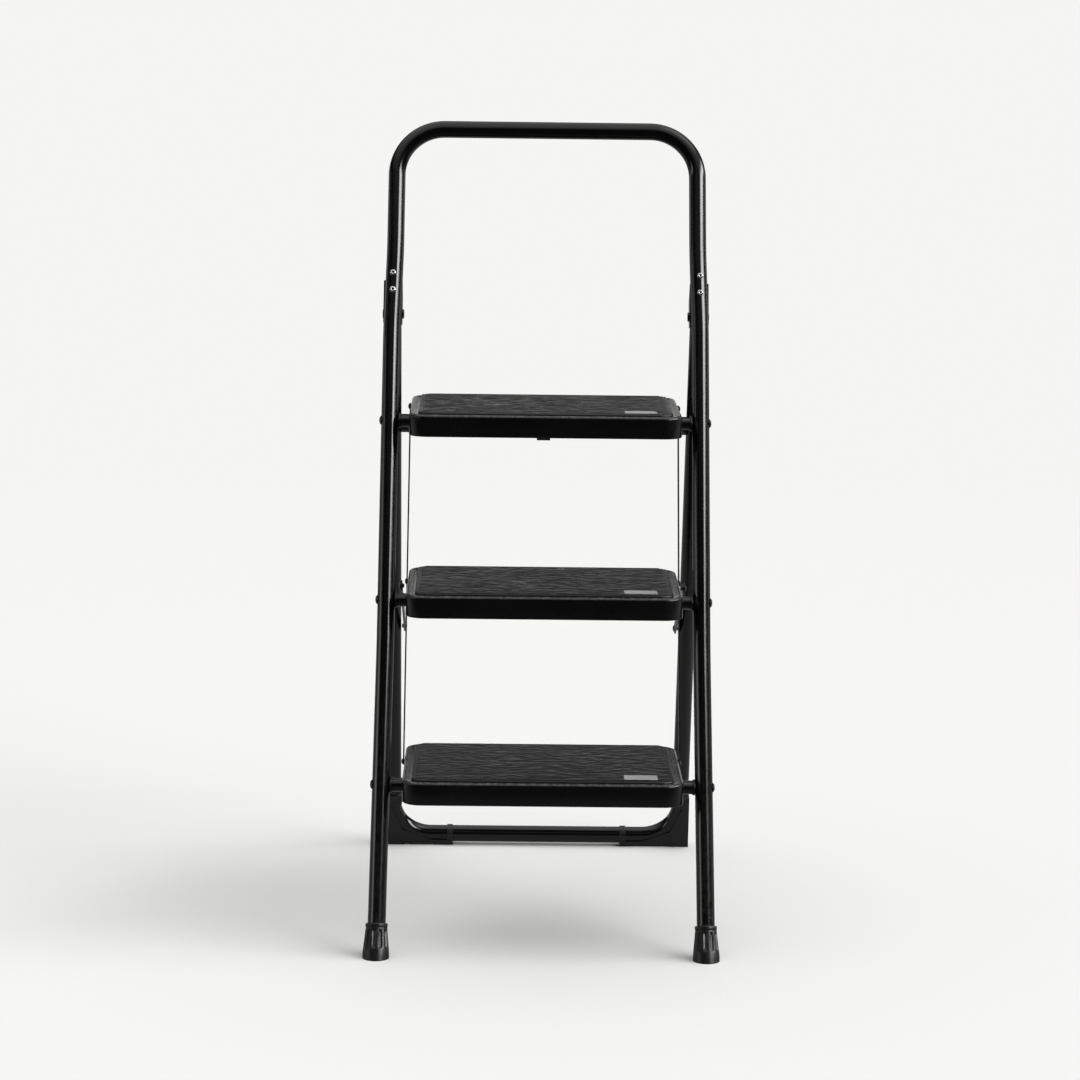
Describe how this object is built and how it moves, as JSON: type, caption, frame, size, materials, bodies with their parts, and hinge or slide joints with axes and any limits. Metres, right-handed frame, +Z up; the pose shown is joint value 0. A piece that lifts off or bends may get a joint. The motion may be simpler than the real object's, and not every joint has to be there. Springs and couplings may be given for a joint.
{
  "type": "folding step ladder",
  "caption": "Black steel folding step ladder with rubber-matted treads on linked crossbars and a tall bent-tube handrail, shown open.",
  "frame": {"origin": "floor level on the mid-plane, at the middle of the open footprint", "axes": "+Z up, +X to the climber's right, +Y away from the climber, who stands on the -Y side"},
  "size_m": [0.4954, 0.692, 1.1476],
  "materials": {
    "frame_paint": "gloss black powder coat",
    "tread_paint": "satin black powder coat",
    "bar_paint": "satin black powder coat",
    "bright_rivet": "satin",
    "black_hardware": "satin black",
    "mat_rubber": "matte with a low wavy relief",
    "badge_plate": "plain light grey",
    "foot_rubber": "matte",
    "foot_plastic": "fine moulded texture",
    "bush_plastic": "smooth"
  },
  "bodies": {
    "front_frame": {"front_tube": "frame_paint", "crossbar_low": "frame_paint", "crossbar_mid": "frame_paint", "crossbar_top": "frame_paint", "tie_rods": "black_hardware", "crossbar_bushes": "bush_plastic", "hinge_bracket_left": "frame_paint", "hinge_bracket_right": "frame_paint", "bracket_rivets": "bright_rivet", "pivot_bolts": "black_hardware", "pivot_nuts": "black_hardware", "front_foot_left": "foot_rubber", "front_foot_right": "foot_rubber"},
    "rear_frame": {"rear_tube": "frame_paint", "rear_crossbar": "frame_paint", "rear_tie_rod": "black_hardware", "rear_foot_left": "foot_plastic", "rear_foot_right": "foot_plastic"},
    "tread_top": {"tread_pan_top": "tread_paint", "tread_mat_top": "mat_rubber", "tread_badge_top": "badge_plate", "latch_pin": "black_hardware", "latch_bracket": "tread_paint"},
    "tread_mid": {"tread_pan_mid": "tread_paint", "tread_mat_mid": "mat_rubber", "tread_badge_mid": "badge_plate"},
    "tread_low": {"tread_pan_low": "tread_paint", "tread_mat_low": "mat_rubber", "tread_badge_low": "badge_plate"},
    "link_bars": {"link_bar_left": "bar_paint", "link_bar_right": "bar_paint", "link_rivets": "black_hardware"},
    "struts": {"strut_left": "bar_paint", "strut_right": "bar_paint", "strut_upper_rivets": "black_hardware", "strut_lower_rivets": "black_hardware"},
    "latch": {"safety_latch": "foot_plastic"}
  },
  "joints": [
    {"name": "rear_frame_fold", "type": "hinge", "parent": "front_frame", "child": "rear_frame", "pos_m": [0, -0.03672, 0.8652], "axis": [-1, 0, 0], "range_deg": [0, 39.5]},
    {"name": "tread_top_fold", "type": "hinge", "parent": "front_frame", "child": "tread_top", "pos_m": [0, -0.11423, 0.7183], "axis": [1, 0, 0], "range_deg": [0, 63.01]},
    {"name": "tread_mid_fold", "type": "hinge", "parent": "front_frame", "child": "tread_mid", "pos_m": [0, -0.18734, 0.4715], "axis": [1, 0, 0], "range_deg": [0, 63.01]},
    {"name": "tread_low_fold", "type": "hinge", "parent": "front_frame", "child": "tread_low", "pos_m": [0, -0.26044, 0.2247], "axis": [1, 0, 0], "range_deg": [0, 63.01]},
    {"name": "link_bar_turn", "type": "hinge", "parent": "tread_top", "child": "link_bars", "pos_m": [0, 0.00477, 0.725], "axis": [1, 0, 0], "range_deg": [-63.01, 0]},
    {"name": "strut_turn", "type": "hinge", "parent": "tread_mid", "child": "struts", "pos_m": [0, -0.05434, 0.4692], "axis": [1, 0, 0], "range_deg": [-144.44, 0]},
    {"name": "latch_swing", "type": "hinge", "parent": "tread_top", "child": "latch", "pos_m": [0, 0.04989, 0.722], "axis": [1, 0, 0], "range_deg": [0, 25]}
  ],
  "couplings": [
    {"joint": "tread_top_fold", "follows": "rear_frame_fold", "ratio": 1.5949},
    {"joint": "tread_mid_fold", "follows": "rear_frame_fold", "ratio": 1.5949},
    {"joint": "tread_low_fold", "follows": "rear_frame_fold", "ratio": 1.5949},
    {"joint": "link_bar_turn", "follows": "rear_frame_fold", "ratio": -1.5949},
    {"joint": "strut_turn", "follows": "rear_frame_fold", "ratio": -3.6562}
  ]
}
